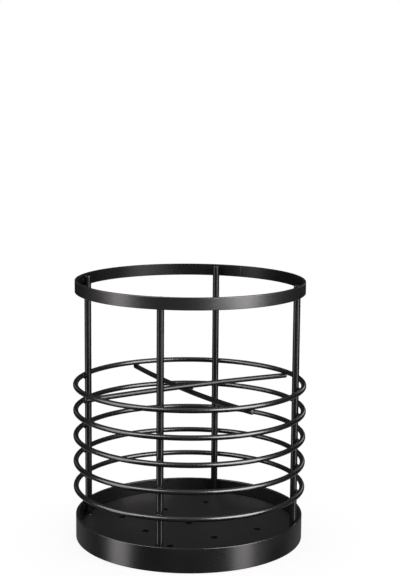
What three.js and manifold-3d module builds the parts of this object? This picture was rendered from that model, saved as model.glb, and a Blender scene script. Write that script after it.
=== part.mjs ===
import * as THREE from "three";
import { mergeVertices } from "three/addons/utils/BufferGeometryUtils.js";
import Module from "manifold-3d";

// A round, open holder of welded wire and flat strip, in millimetres, with Z up.
// It stands on the plane Z = 0 with the origin in the middle of its base band.
// The two divider wires lie along X and Y, and the four posts stand on the diagonals between them.

// Overall sizes
const holderHeight = 150;
const bandRadius = 65.5;

// The two flat bands, one round the rim and one round the base
const bandThickness = 1.7;
const bandEdgeRadius = 0.55;
const rimBandHeight = 6.8;
const baseBandHeight = 13.9;

// The posts inside the bands
const postCount = 4;
const postDiameter = 4;
const postTopDrop = 0.6;
const postChamfer = 0.3;

// The wire rings outside the posts, counted from the lowest
const ringCount = 5;
const ringWireDiameter = 3;
const lowestRingHeight = 30.2;
const ringPitch = 14.9;

// The two wires that cross under the top ring
const dividerWireDiameter = 3;

// The floor plate, pressed with a turned down edge
const floorHeight = 6.2;
const floorThickness = 1;
const floorBendRadius = 0.5;
const floorFlangeLength = 1;
const drainHoleRows = 3;
const drainHolePitch = 28.8;
const drainHoleDiameter = 4;

// Clearance where one welded piece meets another
const weldGap = 0.3;

// A rounded or chamfered edge takes no more than this share of its own wall
const edgeLimitShare = 0.35;

// Fineness of the round forms
const turnSegments = 64;
const wireSides = 10;
const postSides = 16;
const dividerSteps = 12;
const cornerSteps = 2;
const bendSteps = 3;
const holeSides = 16;
const cutOverrun = 1;

// Places that follow from the sizes above
const bandInside = bandRadius - bandThickness;
const postRadius = postDiameter / 2;
const postCircle = bandInside - weldGap - postRadius;
const postFoot = floorHeight + weldGap;
const ringWireRadius = ringWireDiameter / 2;
const ringRadius = postCircle + postRadius + weldGap + ringWireRadius;
const topRingHeight = lowestRingHeight + (ringCount - 1) * ringPitch;
const dividerWireRadius = dividerWireDiameter / 2;
const dividerReach = ringRadius + ringWireRadius;
const dividerHeight = topRingHeight - ringWireRadius - weldGap - dividerWireRadius;
const dividerBow = dividerWireRadius + weldGap / 2;
const floorRadius = bandInside - weldGap;

const blackCoat = { color: 0x1c1c1e, roughness: 0.42, metalness: 0.35 };

const wasm = await Module();
wasm.setup();

// Joins the shared vertices of a shape and drops the flat triangles at its poles
function closedGeometry(geometry) {
  geometry.deleteAttribute("normal");
  geometry.deleteAttribute("uv");
  const merged = mergeVertices(geometry);
  const corners = merged.index.array;
  const kept = [];
  for (let i = 0; i < corners.length; i += 3) {
    const [a, b, c] = [corners[i], corners[i + 1], corners[i + 2]];
    if (a !== b && b !== c && c !== a) kept.push(a, b, c);
  }
  merged.setIndex(kept);
  merged.computeVertexNormals();
  return merged;
}

// Turns a profile of radius and height points about Z
function turned(profile, segments) {
  const lathe = new THREE.LatheGeometry(profile, segments);
  lathe.rotateX(Math.PI / 2);
  return closedGeometry(lathe);
}

// Points along an arc of a profile, from one angle to another
function arcPoints(centreX, centreY, radius, startAngle, endAngle, steps) {
  const points = [];
  for (let i = 0; i <= steps; i += 1) {
    const angle = startAngle + ((endAngle - startAngle) * i) / steps;
    points.push(new THREE.Vector2(centreX + radius * Math.cos(angle), centreY + radius * Math.sin(angle)));
  }
  return points;
}

function toSolid(geometry) {
  const vertProperties = new Float32Array(geometry.attributes.position.array);
  const triVerts = new Uint32Array(geometry.index.array);
  return new wasm.Manifold(new wasm.Mesh({ numProp: 3, vertProperties, triVerts }));
}

function fromSolid(solid) {
  const mesh = solid.getMesh();
  const geometry = new THREE.BufferGeometry();
  geometry.setAttribute("position", new THREE.BufferAttribute(mesh.vertProperties, 3));
  geometry.setIndex(new THREE.BufferAttribute(mesh.triVerts, 1));
  geometry.computeVertexNormals();
  return geometry;
}

function namedMesh(name, geometry) {
  const mesh = new THREE.Mesh(geometry, new THREE.MeshStandardMaterial(blackCoat));
  mesh.name = name;
  return mesh;
}

// A flat strip bent to a ring, with its four edges rounded
function bandGeometry(height) {
  const edge = Math.min(bandEdgeRadius, bandThickness * edgeLimitShare);
  const inner = bandInside + edge;
  const outer = bandRadius - edge;
  const low = edge;
  const high = height - edge;
  const quarter = Math.PI / 2;
  const profile = [
    ...arcPoints(inner, low, edge, 2 * quarter, 3 * quarter, cornerSteps),
    ...arcPoints(outer, low, edge, 3 * quarter, 4 * quarter, cornerSteps),
    ...arcPoints(outer, high, edge, 0, quarter, cornerSteps),
    ...arcPoints(inner, high, edge, quarter, 2 * quarter, cornerSteps),
  ];
  profile.push(profile[0].clone());
  return turned(profile, turnSegments);
}

// A round bar standing on the origin, chamfered at both ends
function barGeometry(radius, length, chamfer, sides) {
  const end = Math.min(chamfer, radius * edgeLimitShare);
  const profile = [
    new THREE.Vector2(0, 0),
    new THREE.Vector2(radius - end, 0),
    new THREE.Vector2(radius, end),
    new THREE.Vector2(radius, length - end),
    new THREE.Vector2(radius - end, length),
    new THREE.Vector2(0, length),
  ];
  return turned(profile, sides);
}

// A closed ring of round wire
function ringGeometry() {
  return turned(arcPoints(ringRadius, 0, ringWireRadius, 0, 2 * Math.PI, wireSides), turnSegments);
}

// A wire that reaches from one side of the top ring to the other and bows up or down in the middle
function dividerGeometry(bow) {
  const sides = Array.from({ length: wireSides }, (_, i) => (2 * Math.PI * i) / wireSides);
  const section = sides.map((angle) => new THREE.Vector2(Math.cos(angle), Math.sin(angle)));
  const start = new THREE.Vector3(-dividerReach, 0, 0);
  const finish = new THREE.Vector3(dividerReach, 0, 0);
  const path = new THREE.QuadraticBezierCurve3(start, new THREE.Vector3(0, 0, 2 * bow), finish);
  const wire = new THREE.ExtrudeGeometry(
    new THREE.Shape(section.map((point) => point.multiplyScalar(dividerWireRadius))),
    { steps: dividerSteps, bevelEnabled: false, extrudePath: path },
  );
  return closedGeometry(wire);
}

// A round plate whose edge turns down inside the base band
function floorBlank() {
  const bendOutside = floorBendRadius + floorThickness;
  const bendCentre = new THREE.Vector2(floorRadius - bendOutside, floorHeight - bendOutside);
  const flangeFoot = bendCentre.y - floorFlangeLength;
  const quarter = Math.PI / 2;
  const profile = [
    new THREE.Vector2(0, floorHeight - floorThickness),
    ...arcPoints(bendCentre.x, bendCentre.y, floorBendRadius, quarter, 0, bendSteps),
    new THREE.Vector2(bendCentre.x + floorBendRadius, flangeFoot),
    new THREE.Vector2(floorRadius, flangeFoot),
    ...arcPoints(bendCentre.x, bendCentre.y, bendOutside, 0, quarter, bendSteps),
    new THREE.Vector2(0, floorHeight),
  ];
  return turned(profile, turnSegments);
}

// The floor plate with its square grid of drain holes, in line with the divider wires
function floorGeometry() {
  const drill = new THREE.CylinderGeometry(
    drainHoleDiameter / 2,
    drainHoleDiameter / 2,
    floorThickness + 2 * cutOverrun,
    holeSides,
  );
  drill.rotateX(Math.PI / 2);
  const drillSolid = toSolid(closedGeometry(drill));
  const middle = (drainHoleRows - 1) / 2;
  let plate = toSolid(floorBlank());
  for (let row = 0; row < drainHoleRows; row += 1) {
    for (let column = 0; column < drainHoleRows; column += 1) {
      const x = (column - middle) * drainHolePitch;
      const y = (row - middle) * drainHolePitch;
      plate = plate.subtract(drillSolid.translate([x, y, floorHeight - floorThickness / 2]));
    }
  }
  return fromSolid(plate);
}

function buildBase() {
  const base = new THREE.Group();
  base.add(namedMesh("base_band", bandGeometry(baseBandHeight)));
  base.add(namedMesh("floor_plate", floorGeometry()));
  return base;
}

function buildPosts() {
  const posts = new THREE.Group();
  const length = holderHeight - postTopDrop - postFoot;
  for (let i = 0; i < postCount; i += 1) {
    const angle = ((i + 0.5) * 2 * Math.PI) / postCount;
    const post = namedMesh(`post_${i + 1}`, barGeometry(postRadius, length, postChamfer, postSides));
    post.position.set(postCircle * Math.cos(angle), postCircle * Math.sin(angle), postFoot);
    post.rotation.z = angle;
    posts.add(post);
  }
  return posts;
}

function buildRings() {
  const rings = new THREE.Group();
  for (let i = 0; i < ringCount; i += 1) {
    const ring = namedMesh(`wire_ring_${i + 1}`, ringGeometry());
    ring.position.z = lowestRingHeight + i * ringPitch;
    rings.add(ring);
  }
  return rings;
}

function buildDivider() {
  const divider = new THREE.Group();
  divider.add(namedMesh("divider_wire_upper", dividerGeometry(dividerBow)));
  const lower = namedMesh("divider_wire_lower", dividerGeometry(-dividerBow));
  lower.rotation.z = Math.PI / 2;
  divider.add(lower);
  divider.position.z = dividerHeight;
  return divider;
}

function buildRim() {
  const rim = namedMesh("rim_band", bandGeometry(rimBandHeight));
  rim.position.z = holderHeight - rimBandHeight;
  return rim;
}

const holder = new THREE.Group();
holder.add(buildBase(), buildPosts(), buildRings(), buildDivider(), buildRim());

export default holder;
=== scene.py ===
import math

import bmesh
import bpy
from mathutils import Matrix, Vector, noise


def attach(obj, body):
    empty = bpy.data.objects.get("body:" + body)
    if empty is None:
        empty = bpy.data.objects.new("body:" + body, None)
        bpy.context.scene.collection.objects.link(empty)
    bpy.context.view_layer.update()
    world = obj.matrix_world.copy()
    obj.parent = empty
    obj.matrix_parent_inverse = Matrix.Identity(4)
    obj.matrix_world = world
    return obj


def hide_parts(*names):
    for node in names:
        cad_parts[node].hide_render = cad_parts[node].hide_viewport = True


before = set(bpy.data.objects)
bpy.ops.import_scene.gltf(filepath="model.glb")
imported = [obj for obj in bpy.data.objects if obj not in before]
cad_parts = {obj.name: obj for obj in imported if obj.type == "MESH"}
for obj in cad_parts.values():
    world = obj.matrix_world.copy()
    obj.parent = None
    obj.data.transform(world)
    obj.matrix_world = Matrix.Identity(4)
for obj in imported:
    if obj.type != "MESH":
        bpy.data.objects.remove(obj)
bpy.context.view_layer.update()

# A round, open holder of black coated wire. The tables hold millimetres, the scene is in metres.
# Each table repeats the sizes of its CAD piece, so that a finer piece lies where its solid is.
mm = 0.001
turn = 2 * math.pi
postAngles = (45, 135, 225, 315)


# Camera, at the place the photograph was taken from

camera = {
    "azimuth": -30.266,      # degrees round the holder, 0 looks along +Y
    "distance": 759.34,      # level distance from the holder's axis
    "height": 263.51,
    "down": 8.871,           # degrees
    "aside": 0.412,
    "roll": 0.4515,
    "lens": 84.573,          # for a sensor of this size on the long side
    "sensor": 36,
    "clip": (0.05, 60),      # metres
}


def placeCamera(c):
    swing = Matrix.Rotation(math.radians(c["azimuth"]), 3, "Z")
    down, aside, roll = (math.radians(c[k]) for k in ("down", "aside", "roll"))
    ahead = math.cos(down)
    forward = swing @ Vector((math.sin(aside) * ahead, math.cos(aside) * ahead, -math.sin(down)))
    levelRight = swing @ Vector((math.cos(aside), -math.sin(aside), 0))
    levelUp = levelRight.cross(forward)
    right = math.cos(roll) * levelRight + math.sin(roll) * levelUp
    up = math.cos(roll) * levelUp - math.sin(roll) * levelRight
    data = bpy.data.cameras.new("studioCamera")
    data.lens, data.sensor_width = c["lens"], c["sensor"]
    data.clip_start, data.clip_end = c["clip"]
    view = bpy.data.objects.new("studioCamera", data)
    view.matrix_world = Matrix((right, up, -forward)).transposed().to_4x4()
    view.location = swing @ Vector((0, -c["distance"] * mm, c["height"] * mm))
    bpy.context.scene.collection.objects.link(view)
    bpy.context.scene.camera = view


placeCamera(camera)
print("camera placed")


class Signal:
    # An output socket that can stand in a sum. Started without a socket, it only adds nodes to its tree.
    def __init__(self, tree, socket=None):
        self.tree, self.socket = tree, socket

    def node(self, kind, settings=None, inputs=None, output=0):
        made = self.tree.nodes.new(kind)
        for name, value in (settings or {}).items():
            setattr(made, name, value)
        for name, value in (inputs or {}).items():
            if isinstance(value, Signal):
                self.tree.links.new(value.socket, made.inputs[name])
            else:
                made.inputs[name].default_value = value
        return Signal(self.tree, made.outputs[output] if made.outputs else None)

    def sum(self, operation, first, second):
        return self.node("ShaderNodeMath", {"operation": operation}, {0: first, 1: second})

    def __add__(self, other):
        return self.sum("ADD", self, other)

    def __radd__(self, other):
        return self.sum("ADD", other, self)

    def __sub__(self, other):
        return self.sum("SUBTRACT", self, other)

    def __rsub__(self, other):
        return self.sum("SUBTRACT", other, self)

    def __mul__(self, other):
        return self.sum("MULTIPLY", self, other)

    def __rmul__(self, other):
        return self.sum("MULTIPLY", other, self)

    def noise(self, place, grainSize, detail=2.0, stretch=None):       # grainSize in millimetres
        if stretch:
            place = self.node("ShaderNodeMapping", None, {"Vector": place, "Scale": stretch})
        scale = 1 / (grainSize * mm)
        return self.node("ShaderNodeTexNoise", None, {"Vector": place, "Scale": scale, "Detail": detail})

    def ease(self, value, start, end):                                 # 0 before start, 1 after end
        return self.node("ShaderNodeMapRange", {"interpolation_type": "SMOOTHSTEP"},
                         {"Value": value, "From Min": start, "From Max": end})

    def blend(self, share, first, second):                             # by the colour sockets of the node
        return self.node("ShaderNodeMix", {"data_type": "RGBA"}, {0: share, 6: first, 7: second}, 2)


def grey(value, warmth=0.0):
    return (value * (1 + warmth), value, value * (1 - warmth), 1)


# Black powder coat, one finish for each kind of steel under it
# Sizes and depths are in millimetres. The deep and the thin colour are two ends of the same black.

wear = {                             # how every coat varies over its surface
    "size": 34, "detail": 3, "fineDetail": 1,
    "thinFrom": (0.42, 0.68),        # where the coat turns from deep to thin
    "rough": 0.1, "peelRough": 0.03, "grainRough": 0.03, "streakRough": 0.05,
}
bandCoat = {
    "name": "coatOnBands", "deep": grey(0.0016), "thin": grey(0.0028, 0.03), "rough": 0.29, "specular": 0.55,
    "peelSize": 1.3, "peelDepth": 0.004, "grainSize": 0.24, "grainDepth": 0.0009,
    "streaks": (1, 1, 26), "streakSize": 16, "streakDetail": 3, "streakDepth": 0.0012,
}
rimCoat = dict(bandCoat, name="coatOnRim", rough=0.33, specular=0.62,
               inside=(63.9, 65.3), insideSpecular=0.14)     # the painted-shade inside fades into the bright outside between these radii
wireCoat = {
    "name": "coatOnWires", "deep": grey(0.0016), "thin": grey(0.003, 0.03), "rough": 0.25, "specular": 0.55,
    "peelSize": 1.0, "peelDepth": 0.0021, "grainSize": 0.22, "grainDepth": 0.0006,
    "waveSize": 9, "waveDepth": 0.02,
}
postCoat = dict(wireCoat, name="coatOnPosts", rough=0.23, specular=0.37)
dividerCoat = dict(wireCoat, name="coatOnDividers", rough=0.32, specular=0.3)
# painted light: the floor's black is lighter than the other coats' black, standing in for the soft-box light
# that skips the plate
floorCoatPaintedLight = {
    "name": "coatOnFloorPaintedLight", "deep": (0.036, 0.0325, 0.0345, 1), "thin": (0.042, 0.038, 0.0395, 1),
    "rough": 0.45, "specular": 0.25,
    "peelSize": 1.5, "peelDepth": 0.006, "grainSize": 0.26, "grainDepth": 0.0018,
    "scuffSize": 26, "scuffDetail": 4, "scuffColour": grey(0.06), "scuffShare": 0.35, "scuffRough": 0.06,
    "across": (1, 22, 1), "acrossFrom": (0.63, 0.72), "along": (19, 1.2, 1), "alongFrom": (0.64, 0.73),
}
weldCoat = {
    "name": "coatOnWelds", "deep": grey(0.0016), "thin": grey(0.0028, 0.03), "rough": 0.42, "specular": 0.2,
    "peelSize": 0.7, "peelDepth": 0.012, "grainSize": 0.22, "grainDepth": 0.003,
}


def shine(start, finish, specular):
    return start.node("ShaderNodeBsdfPrincipled", None, dict(finish, **{"Specular IOR Level": specular}))


def makeCoat(c, w):
    material = bpy.data.materials.new(c["name"])
    material.use_nodes = True
    tree = material.node_tree
    tree.nodes.clear()
    start = Signal(tree)
    place = start.node("ShaderNodeTexCoord", output="Object")
    peel = start.noise(place, c["peelSize"])
    grain = start.noise(place, c["grainSize"], w["fineDetail"])
    broad = start.noise(place, w["size"], w["detail"])
    relief = peel * c["peelDepth"] + grain * c["grainDepth"]
    worn = start.ease(broad, *w["thinFrom"])
    rough = (c["rough"] + (broad - 0.5) * w["rough"] + (peel - 0.5) * w["peelRough"]
             + (grain - 0.5) * w["grainRough"])
    colour = start.blend(worn, c["deep"], c["thin"])
    if "streaks" in c:                      # drawing lines of the rolled strip, faint under the coat
        streak = start.noise(place, c["streakSize"], c["streakDetail"], c["streaks"])
        relief = relief + streak * c["streakDepth"]
        rough = rough + (streak - 0.5) * w["streakRough"]
    if "waveSize" in c:                     # the wire is never quite straight, so its shine line wanders
        relief = relief + start.noise(place, c["waveSize"], w["fineDetail"]) * c["waveDepth"]
    if "scuffSize" in c:                    # faint rubbed marks, the most in the two main directions
        across = start.noise(place, c["scuffSize"], c["scuffDetail"], c["across"])
        along = start.noise(place, c["scuffSize"], c["scuffDetail"], c["along"])
        scuff = start.ease(across, *c["acrossFrom"]) + start.ease(along, *c["alongFrom"])
        colour = start.blend(scuff * c["scuffShare"], colour, c["scuffColour"])
        rough = rough + scuff * c["scuffRough"]
    bump = start.node("ShaderNodeBump", None, {"Strength": 1.0, "Distance": mm, "Height": relief})
    finish = {"Base Color": colour, "Roughness": rough, "Normal": bump, "Metallic": 0.0}
    shader = shine(start, finish, c["specular"])
    if "inside" in c:                       # painted shade: the face towards the axis gets a copy of the coat with less shine, so it reads dark as if in shade
        level = start.node("ShaderNodeVectorMath", {"operation": "MULTIPLY"}, {0: place, 1: (1, 1, 0)})
        fromAxis = start.node("ShaderNodeVectorMath", {"operation": "LENGTH"}, {0: level}, "Value")
        outside = start.ease(fromAxis, *(r * mm for r in c["inside"]))
        paintedShadeCoat = shine(start, finish, c["insideSpecular"])
        shader = start.node("ShaderNodeMixShader", None, {0: outside, 1: paintedShadeCoat, 2: shader})
    start.node("ShaderNodeOutputMaterial", None, {"Surface": shader})
    return material


coats = (bandCoat, rimCoat, wireCoat, postCoat, dividerCoat, floorCoatPaintedLight, weldCoat)
paints = [makeCoat(c, wear) for c in coats]
bandPaint, rimPaint, wirePaint, postPaint, dividerPaint, floorPaintPaintedLight, weldPaint = paints
print("coats mixed")


sharpAngle = math.radians(40)
mergeDistance = 0.0005 * mm
hair = 0.001 * mm                    # places nearer to each other than this count as the same


def makePiece(name, bm, paint, nodes=()):
    bmesh.ops.remove_doubles(bm, verts=bm.verts, dist=mergeDistance)
    bmesh.ops.recalc_face_normals(bm, faces=bm.faces)
    mesh = bpy.data.meshes.new(name)
    bm.to_mesh(mesh)
    bm.free()
    mesh.shade_smooth()
    mesh.set_sharp_from_angle(angle=sharpAngle)
    mesh.materials.append(paint)
    piece = bpy.data.objects.new(name, mesh)
    bpy.context.scene.collection.objects.link(piece)
    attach(piece, "root")
    if nodes:
        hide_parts(*nodes)
    return piece


def levelShine(piece):               # keeps the small round edges from tilting the shine of the large faces
    level = piece.modifiers.new("levelShine", "WEIGHTED_NORMAL")
    level.mode, level.weight, level.keep_sharp = "FACE_AREA", 100, True


def roundOff(bm, corners, radius, steps, affect="EDGES"):
    bmesh.ops.bevel(bm, geom=corners, offset=radius * mm, segments=steps, profile=0.5,
                    affect=affect, material=-1)


def wireSection(bm, radius, sides, stand):
    bmesh.ops.create_circle(bm, cap_ends=False, radius=radius * mm, segments=sides, matrix=stand)


def fullSpin(bm, steps, centre=(0, 0, 0)):
    bmesh.ops.spin(bm, geom=bm.verts[:] + bm.edges[:], cent=centre, axis=(0, 0, 1), dvec=(0, 0, 0),
                   angle=turn, steps=steps, use_merge=True, use_duplicate=False)


def around(angle, radius, height):                       # a place by its angle round the holder
    a = math.radians(angle)
    return Vector((radius * math.cos(a), radius * math.sin(a), height)) * mm


# Flat bands round the rim and the base

rimBand = {
    "outer": 65.5, "thickness": 1.7, "low": 143.2, "high": 150.0,
    "edge": 0.3, "edgeSteps": 4, "steps": 288,
}
baseBand = dict(rimBand, low=0.0, high=13.9)


def bandShape(b):
    bm = bmesh.new()
    inner, outer = b["outer"] - b["thickness"], b["outer"]
    corners = [bm.verts.new(Vector((x, 0, z)) * mm)
               for x, z in ((inner, b["low"]), (outer, b["low"]), (outer, b["high"]), (inner, b["high"]))]
    bm.faces.new(corners)
    roundOff(bm, corners, b["edge"], b["edgeSteps"], "VERTICES")
    bmesh.ops.delete(bm, geom=bm.faces[:], context="FACES_ONLY")
    fullSpin(bm, b["steps"])
    return bm


levelShine(makePiece("rimBandCoated", bandShape(rimBand), rimPaint, ["rim_band"]))
levelShine(makePiece("baseBandCoated", bandShape(baseBand), bandPaint, ["base_band"]))
print("bands made")


# Wire rings

wireRing = {"radius": 65.3, "wire": 3.0, "lowest": 30.2, "pitch": 14.9, "count": 5, "sides": 20, "steps": 320}


def ringShape(r, height):
    bm = bmesh.new()
    stand = Matrix.Translation(Vector((r["radius"], 0, height)) * mm) @ Matrix.Rotation(turn / 4, 4, "X")
    wireSection(bm, r["wire"] / 2, r["sides"], stand)
    fullSpin(bm, r["steps"])
    return bm


ringHeights = [wireRing["lowest"] + i * wireRing["pitch"] for i in range(wireRing["count"])]
for number, height in enumerate(ringHeights, 1):
    makePiece(f"wireRingCoated{number}", ringShape(wireRing, height), wirePaint, [f"wire_ring_{number}"])
print("rings made")


# Upright posts

post = {
    "circle": 61.5, "diameter": 4.0, "foot": 6.5, "top": 149.4,
    "endRound": 0.45, "endSteps": 4, "sides": 36,
}


def postShape(p, angle):
    bm = bmesh.new()
    length = p["top"] - p["foot"]
    stand = Matrix.Translation(around(angle, p["circle"], p["foot"] + length / 2))
    radius = p["diameter"] / 2 * mm
    bmesh.ops.create_cone(bm, cap_ends=True, segments=p["sides"], radius1=radius, radius2=radius,
                          depth=length * mm, matrix=stand)
    endEdges = [e for e in bm.edges if abs(e.verts[0].co.z - e.verts[1].co.z) < hair]
    roundOff(bm, endEdges, p["endRound"], p["endSteps"])
    return bm


for number, angle in enumerate(postAngles, 1):
    levelShine(makePiece(f"postCoated{number}", postShape(post, angle), postPaint, [f"post_{number}"]))
print("posts made")


# Crossed divider wires

dividerWire = {
    "reach": 66.8, "wire": 3.0, "sides": 20, "steps": 48,
    "crossing": 86.5, "apart": 3.3,                          # height where they cross, and how far apart
    "ends": 87.2, "endRound": 0.7, "endSteps": 3,            # higher than the solids', just in the top ring
}


def dividerShape(d, up, heading):
    bm = bmesh.new()
    middle = d["crossing"] + up * d["apart"] / 2
    bow = up * (middle - d["ends"])
    arc = (d["reach"] ** 2 + bow ** 2) / (2 * bow)                     # radius of the bow
    sweep = math.asin(d["reach"] / arc)
    centre = Vector((0, 0, middle - up * arc)) * mm
    lean = Matrix.Rotation(-up * sweep, 4, "Y")
    start = Matrix.Translation(centre) @ lean @ Matrix.Translation(Vector((0, 0, up * arc)) * mm)
    wireSection(bm, d["wire"] / 2, d["sides"], start @ Matrix.Rotation(turn / 4, 4, "Y"))
    bmesh.ops.spin(bm, geom=bm.verts[:] + bm.edges[:], cent=centre, axis=(0, 1, 0), dvec=(0, 0, 0),
                   angle=up * 2 * sweep, steps=d["steps"], use_merge=False, use_duplicate=False)
    openEdges = [e for e in bm.edges if e.is_boundary]
    bmesh.ops.holes_fill(bm, edges=openEdges, sides=0)
    roundOff(bm, openEdges, d["endRound"], d["endSteps"])
    swing = Matrix.Rotation(math.radians(heading), 3, "Z")
    bmesh.ops.rotate(bm, verts=bm.verts, cent=(0, 0, 0), matrix=swing)
    return bm


for name, node, up, heading in (("dividerWireUpperCoated", "divider_wire_upper", 1, 0),
                                ("dividerWireLowerCoated", "divider_wire_lower", -1, 90)):
    levelShine(makePiece(name, dividerShape(dividerWire, up, heading), dividerPaint, [node]))
print("divider made")


# Pressed floor plate with drain holes

floorPlate = {
    "radius": 63.5, "top": 6.2, "thickness": 1.0, "bend": 0.5, "flange": 1.0,
    "bendSteps": 6, "outerBendSteps": 8, "steps": 256,
    "rows": 3, "pitch": 28.8, "hole": 4.0,
    "holeRound": 0.06, "holeRoundSteps": 4, "holeSides": 48, "overrun": 1,
}


def plateShape(f):
    bm = bmesh.new()
    r, top, t = f["radius"], f["top"], f["thickness"]
    low = top - t - f["bend"] - f["flange"]
    points = [(0, top), (r, top), (r, low), (r - t, low), (r - t, top - t), (0, top - t)]
    corners = [bm.verts.new(Vector((x, 0, z)) * mm) for x, z in points]
    bm.faces.new(corners)
    roundOff(bm, [corners[1]], f["bend"] + t, f["outerBendSteps"], "VERTICES")
    inside = min(bm.verts, key=lambda v: (v.co - Vector((r - t, 0, top - t)) * mm).length)
    roundOff(bm, [inside], f["bend"], f["bendSteps"], "VERTICES")
    bmesh.ops.delete(bm, geom=bm.faces[:], context="FACES_ONLY")
    axisEdges = [e for e in bm.edges if max(abs(v.co.x) for v in e.verts) < hair]
    bmesh.ops.delete(bm, geom=axisEdges, context="EDGES")
    fullSpin(bm, f["steps"])
    return bm


def holeShapes(f):                   # punches with a flared head, so that the holes get round edges
    bm = bmesh.new()
    radius, flare = f["hole"] / 2, f["holeRound"]
    under, over = f["top"] - f["thickness"] - f["overrun"], f["top"] + f["overrun"]
    steps = f["holeRoundSteps"]
    arc = [(radius + flare - flare * math.cos(a), f["top"] - flare + flare * math.sin(a))
           for a in (i * turn / 4 / steps for i in range(steps + 1))]
    outline = [(0, under), (radius, under)] + arc + [(radius + flare, over), (0, over)]
    verts = [bm.verts.new(Vector((x, 0, z)) * mm) for x, z in outline]
    for a, b in zip(verts, verts[1:]):
        bm.edges.new((a, b))
    fullSpin(bm, f["holeSides"])
    bmesh.ops.remove_doubles(bm, verts=bm.verts, dist=mergeDistance)
    bmesh.ops.recalc_face_normals(bm, faces=bm.faces)
    first = bm.verts[:] + bm.edges[:] + bm.faces[:]
    middle = (f["rows"] - 1) / 2
    for row in range(f["rows"]):
        for column in range(f["rows"]):
            if (row, column) != (middle, middle):
                step = Vector(((column - middle) * f["pitch"], (row - middle) * f["pitch"], 0)) * mm
                copy = bmesh.ops.duplicate(bm, geom=first)["geom"]
                corners = [g for g in copy if isinstance(g, bmesh.types.BMVert)]
                bmesh.ops.translate(bm, vec=step, verts=corners)
    return bm


def cutPlate(f):
    plate = makePiece("floorPlateCoated", plateShape(f), floorPaintPaintedLight, ["floor_plate"])
    punchMesh = bpy.data.meshes.new("punches")
    bm = holeShapes(f)
    bm.to_mesh(punchMesh)
    bm.free()
    punches = bpy.data.objects.new("punches", punchMesh)
    bpy.context.scene.collection.objects.link(punches)
    cut = plate.modifiers.new("drainHoles", "BOOLEAN")
    cut.operation, cut.solver, cut.object = "DIFFERENCE", "EXACT", punches
    bpy.context.view_layer.update()
    ready = bpy.data.meshes.new_from_object(plate.evaluated_get(bpy.context.evaluated_depsgraph_get()))
    plate.modifiers.clear()
    plate.data = ready
    ready.shade_smooth()
    ready.set_sharp_from_angle(angle=sharpAngle)
    bpy.data.objects.remove(punches)
    return plate


plate = cutPlate(floorPlate)
levelShine(plate)
print("floor plate made")


# Welds

bead = {"around": 20, "across": 12, "lumpSize": 0.9, "seedStep": (7.3, 3.1, 5.7)}


def addBead(bm, angle, radius, height, half, lumps, seed):
    # A lens of weld metal, half its size given outward, sideways and up. Its uneven lumps come from the seed.
    at = around(angle, radius, height)
    a = math.radians(angle)
    axes = Vector((math.cos(a), math.sin(a), 0)), Vector((-math.sin(a), math.cos(a), 0)), Vector((0, 0, 1))
    frameOf = Matrix([list(axis * h * mm) for axis, h in zip(axes, half)]).transposed().to_4x4()
    made = bmesh.ops.create_uvsphere(bm, u_segments=bead["around"], v_segments=bead["across"], radius=1.0,
                                     matrix=Matrix.Translation(at) @ frameOf)
    shift = Vector([seed * step for step in bead["seedStep"]])
    for v in made["verts"]:
        away = v.co - at
        v.co += away * noise.noise(v.co / (bead["lumpSize"] * mm) + shift) * lumps


weld = {
    "contact": 63.65,                    # radius where posts meet bands and rings
    "ring": (0.5, 1.95, 1.6), "ringLumps": 0.22, "ringSeed": 1,
    "rim": (0.34, 1.5, 2.6), "rimHeight": 146.4,
    "base": (0.34, 1.5, 3.2), "baseHeight": 10.0, "bandLumps": 0.12, "bandSeed": 31,
    "divider": (1.0, 1.9, 0.5), "dividerHeight": 88.45, "dividerIn": 0.1, "dividerSeed": 41,
    "crossing": (2.2, 2.2, 0.6), "crossingHeight": 86.5, "crossingSeed": 47,
}


def ringWelds(w, heights):
    bm = bmesh.new()
    seed = w["ringSeed"]
    for height in heights:
        for angle in postAngles:
            addBead(bm, angle, w["contact"], height, w["ring"], w["ringLumps"], seed)
            seed += 1
    return bm


def bandWelds(w, key, height):
    bm = bmesh.new()
    for seed, angle in enumerate(postAngles, w["bandSeed"]):
        addBead(bm, angle, w["contact"], height, w[key], w["bandLumps"], seed)
    return bm


def dividerWelds(w):
    bm = bmesh.new()
    radius, lumps = wireRing["radius"] - w["dividerIn"], w["ringLumps"]
    for seed, angle in enumerate((0, 90, 180, 270), w["dividerSeed"]):
        addBead(bm, angle, radius, w["dividerHeight"], w["divider"], lumps, seed)
    addBead(bm, 0, 0, w["crossingHeight"], w["crossing"], lumps, w["crossingSeed"])
    return bm


footWeld = {
    "ring": 2.1, "bead": 0.42, "height": 6.32, "sides": 10, "steps": 28,
    "lumps": 0.16, "lumpSize": 1.1, "seedStep": 5.0,
}


def footWelds(f):
    bm = bmesh.new()
    for side, angle in enumerate(postAngles):
        part = bmesh.new()
        foot = around(angle, post["circle"], f["height"])
        stand = Matrix.Translation(foot + Vector((f["ring"] * mm, 0, 0))) @ Matrix.Rotation(turn / 4, 4, "X")
        wireSection(part, f["bead"], f["sides"], stand)
        fullSpin(part, f["steps"], foot)
        shift = Vector((side * f["seedStep"], 0, 0))
        for v in part.verts:
            lump = noise.noise(v.co / (f["lumpSize"] * mm) + shift) * f["lumps"]
            v.co.z += lump * mm
            v.co.xy += (v.co.xy - foot.xy).normalized() * lump * mm
        joined = bpy.data.meshes.new("footWeldPart")
        part.to_mesh(joined)
        part.free()
        bm.from_mesh(joined)
        bpy.data.meshes.remove(joined)
    return bm


seam = {                             # angles in degrees, at the back
    "ringAngle": 28, "ringOff": (-1.4, 0.9, -0.5, 1.2, 0.2), "ringHalf": (1.58, 0.8, 1.58),
    "ringLumps": 0.05, "ringSeed": 53,
    "bandAngle": 31, "bandHalf": 0.16, "bandWide": 0.9, "bandLumps": 0.1, "bandSeed": 61,
}


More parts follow.
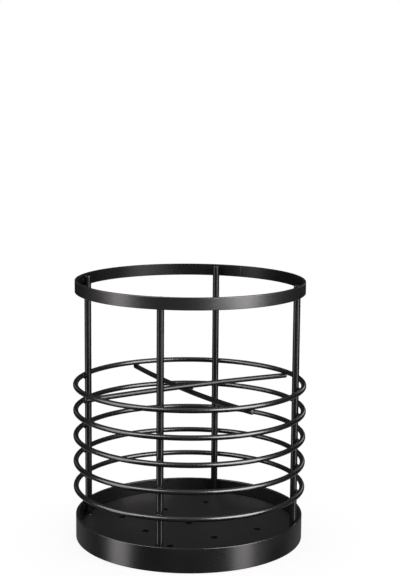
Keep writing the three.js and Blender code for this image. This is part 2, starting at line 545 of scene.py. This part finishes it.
def buttSeams(s):                    # where each strip and wire closes to a ring
    bm = bmesh.new()
    for seed, (height, off) in enumerate(zip(ringHeights, s["ringOff"]), s["ringSeed"]):
        addBead(bm, s["ringAngle"] + off, wireRing["radius"], height, s["ringHalf"], s["ringLumps"], seed)
    for band in (rimBand, baseBand):
        tall = (band["high"] - band["low"]) / 2
        inner = band["outer"] - band["thickness"]
        half = (s["bandHalf"], s["bandWide"], tall - band["edge"])
        addBead(bm, s["bandAngle"], inner, band["low"] + tall, half, s["bandLumps"], s["bandSeed"])
    return bm


makePiece("ringWelds", ringWelds(weld, ringHeights), weldPaint)
makePiece("rimWelds", bandWelds(weld, "rim", weld["rimHeight"]), weldPaint)
makePiece("baseWelds", bandWelds(weld, "base", weld["baseHeight"]), weldPaint)
makePiece("dividerWelds", dividerWelds(weld), weldPaint)
makePiece("footWelds", footWelds(footWeld), weldPaint)
makePiece("buttSeams", buttSeams(seam), weldPaint)
print("welds made")


# Stage and light

paper = {                            # metres
    "radius": 9.0, "sides": 96, "colour": grey(0.5), "rough": 0.8, "specular": 0.1,
    "glow": 0.81, "paintedShadeRadii": (0.0625, 0.0655),              # it glows outside the base band's footprint; under the holder the glow is off, painted shade
}
sky = {                              # strengths, and the heights or directions over which each part fades in
    "room": 0.01, "zenith": 1.0, "zenithFrom": (0.42, 0.98),
    "paper": 0.03, "paperFrom": (0.8, 0.97), "paperAbove": (-0.05, 0.1),
    "table": 0.3, "tableFrom": (0.1, 0.7), "tableBelow": (0.2, 0.4),
    "front": 0.5, "frontFrom": (0.8, 0.98), "frontAbove": (-0.27, -0.18), "frontBelow": (0, 0.1),
    "backdrop": grey(1),
}
light = {"colour": (1, 0.955, 0.962), "distance": 1.2, "aim": 0.07}    # aim: the height all lamps face
lamps = [                            # azimuth from the camera and elevation in degrees, the sizes in metres
    {"name": "softBoxLeft", "azimuth": -73, "elevation": 20, "width": 0.98, "height": 0.76, "glow": 6.9},
    {"name": "softBoxFront", "azimuth": -45, "elevation": 38, "width": 0.6, "height": 0.5, "glow": 12.8},
    {"name": "softBoxRight", "azimuth": 49, "elevation": 23, "width": 1.16, "height": 0.98, "glow": 16},
    {"name": "tableGleamLeft", "azimuth": -71, "elevation": -14, "width": 0.42, "height": 0.55, "glow": 4.5},
    {"name": "tableGleamRight", "azimuth": 54, "elevation": -13, "width": 0.38, "height": 0.55, "glow": 5.2},
    {"name": "backBoxLeft", "azimuth": -150, "elevation": 14, "width": 0.3, "height": 0.36, "glow": 0.4},
    {"name": "backBoxRight", "azimuth": 150, "elevation": 14, "width": 0.3, "height": 0.36, "glow": 1.4},
]


def makeStage(p):
    bm = bmesh.new()
    bmesh.ops.create_circle(bm, cap_ends=True, radius=p["radius"], segments=p["sides"])
    mesh = bpy.data.meshes.new("studioFloor")
    bm.to_mesh(mesh)
    bm.free()
    material = bpy.data.materials.new("studioPaper")
    material.use_nodes = True
    shader = material.node_tree.nodes["Principled BSDF"]
    shader.inputs["Base Color"].default_value = p["colour"]
    shader.inputs["Roughness"].default_value = p["rough"]
    shader.inputs["Specular IOR Level"].default_value = p["specular"]
    shader.inputs["Emission Strength"].default_value = p["glow"]
    start = Signal(material.node_tree)
    place = start.node("ShaderNodeTexCoord", output="Object")
    fromAxis = start.node("ShaderNodeVectorMath", {"operation": "LENGTH"}, {0: place}, "Value")
    # the glow is off inside the base band: painted shade on the floor under the holder
    glow = start.blend(start.ease(fromAxis, *p["paintedShadeRadii"]), grey(0), grey(1))
    material.node_tree.links.new(glow.socket, shader.inputs["Emission Color"])
    mesh.materials.append(material)
    floor = bpy.data.objects.new("studioFloor", mesh)
    floor.visible_glossy = False              # the coat mirrors the dark around it, not the floor,
    floor.visible_shadow = False              # and the soft boxes reach it from a little under the table top
    bpy.context.scene.collection.objects.link(floor)
    return floor


def makeSky(s):
    world = bpy.data.worlds.new("studioSky")
    world.use_nodes = True
    world.node_tree.nodes.clear()
    start = Signal(world.node_tree)
    direction = start.node("ShaderNodeTexCoord", output="Generated")
    height = start.node("ShaderNodeSeparateXYZ", None, {0: direction}, "Z")
    behind = start.node("ShaderNodeVectorMath", {"operation": "DOT_PRODUCT"},
                        {0: direction, 1: around(camera["azimuth"] + 90, 1, 0).normalized()}, "Value")
    above = start.ease(height, *s["zenithFrom"]) * s["zenith"]
    far = start.ease(behind, *s["paperFrom"]) * start.ease(height, *s["paperAbove"]) * s["paper"]
    table = start.ease(behind, *s["tableFrom"]) * start.ease(-1 * height, *s["tableBelow"]) * s["table"]
    front = (start.ease(-1 * behind, *s["frontFrom"]) * start.ease(height, *s["frontAbove"])
             * start.ease(-1 * height, *s["frontBelow"]) * s["front"])
    glow = start.node("ShaderNodeBackground", None, {"Strength": above + far + table + front + s["room"]})
    backdrop = start.node("ShaderNodeBackground", None, {"Color": s["backdrop"]})
    seen = start.node("ShaderNodeLightPath", output="Is Camera Ray")
    both = start.node("ShaderNodeMixShader", None, {0: seen, 1: glow, 2: backdrop})
    start.node("ShaderNodeOutputWorld", None, {"Surface": both})
    bpy.context.scene.world = world


def lampSkips(name, *objects):
    skips = bpy.data.collections.new(name)
    for thing in objects:
        skips.objects.link(thing)
    for member in skips.collection_objects:
        member.light_linking.link_state = "EXCLUDE"
    return skips


def makeLamp(l, common, skips):
    data = bpy.data.lights.new(l["name"], "AREA")
    data.shape, data.size, data.size_y = "RECTANGLE", l["width"], l["height"]
    data.energy = l["glow"] * math.pi * data.size * data.size_y
    data.color = common["colour"]
    lamp = bpy.data.objects.new(l["name"], data)
    bpy.context.scene.collection.objects.link(lamp)
    level = around(camera["azimuth"] + l["azimuth"] - 90, 1, 0).normalized()
    rise = math.radians(l["elevation"])
    out = level * math.cos(rise) + Vector((0, 0, math.sin(rise)))
    lamp.location = out * common["distance"] + Vector((0, 0, common["aim"]))
    lamp.rotation_euler = out.to_track_quat("Z", "Y").to_euler()
    lamp.visible_camera = False
    lamp.light_linking.receiver_collection = skips


paperFloor = makeStage(paper)
makeSky(sky)
litBySky = lampSkips("litByTheSkyAlone", paperFloor, plate)            # the soft boxes would burn both out
for lampSettings in lamps:
    makeLamp(lampSettings, light, litBySky)
bpy.context.scene.view_settings.view_transform = "Standard"
print("studio lit")
